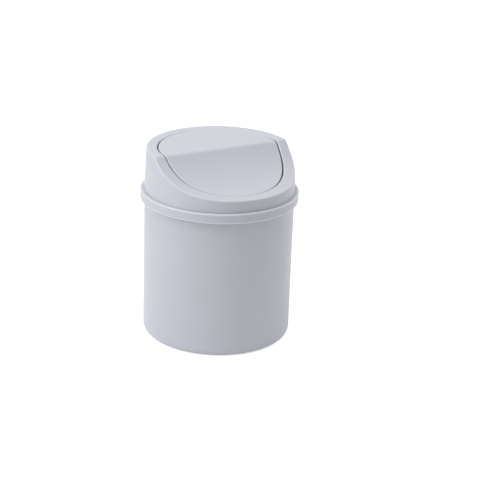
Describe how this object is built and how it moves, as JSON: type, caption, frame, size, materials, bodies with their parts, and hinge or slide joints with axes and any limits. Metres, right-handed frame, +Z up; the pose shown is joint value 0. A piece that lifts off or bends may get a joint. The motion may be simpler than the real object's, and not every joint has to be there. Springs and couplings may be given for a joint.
{
  "type": "countertop waste bin",
  "caption": "Round countertop bin with a lift-off hood whose scooped swing flap is pushed down to drop small rubbish in.",
  "frame": {"origin": "centre of the base, on the surface that the bin stands on", "axes": "+Z up along the bin's axis; -Y towards the low, scooped front; +X along the flap's pivot, to the right as seen from the front"},
  "size_m": [0.1348, 0.1349, 0.1653],
  "materials": {
    "bin_plastic": "fine matte, light cool grey",
    "hood_plastic": "fine matte, light cool grey",
    "flap_plastic": "fine matte, light cool grey"
  },
  "bodies": {
    "bin": {"bin_body": "bin_plastic"},
    "hood": {"lid_hood": "hood_plastic"},
    "flap": {"swing_flap": "flap_plastic"}
  },
  "joints": [
    {"name": "hood_lift", "type": "slide", "parent": "bin", "child": "hood", "axis": [0, 0, 1], "range_m": [0, 0.06]},
    {"name": "flap_swing", "type": "hinge", "parent": "hood", "child": "flap", "pos_m": [0, -0.002, 0.157], "axis": [1, 0, 0], "range_deg": [0, 80]}
  ]
}
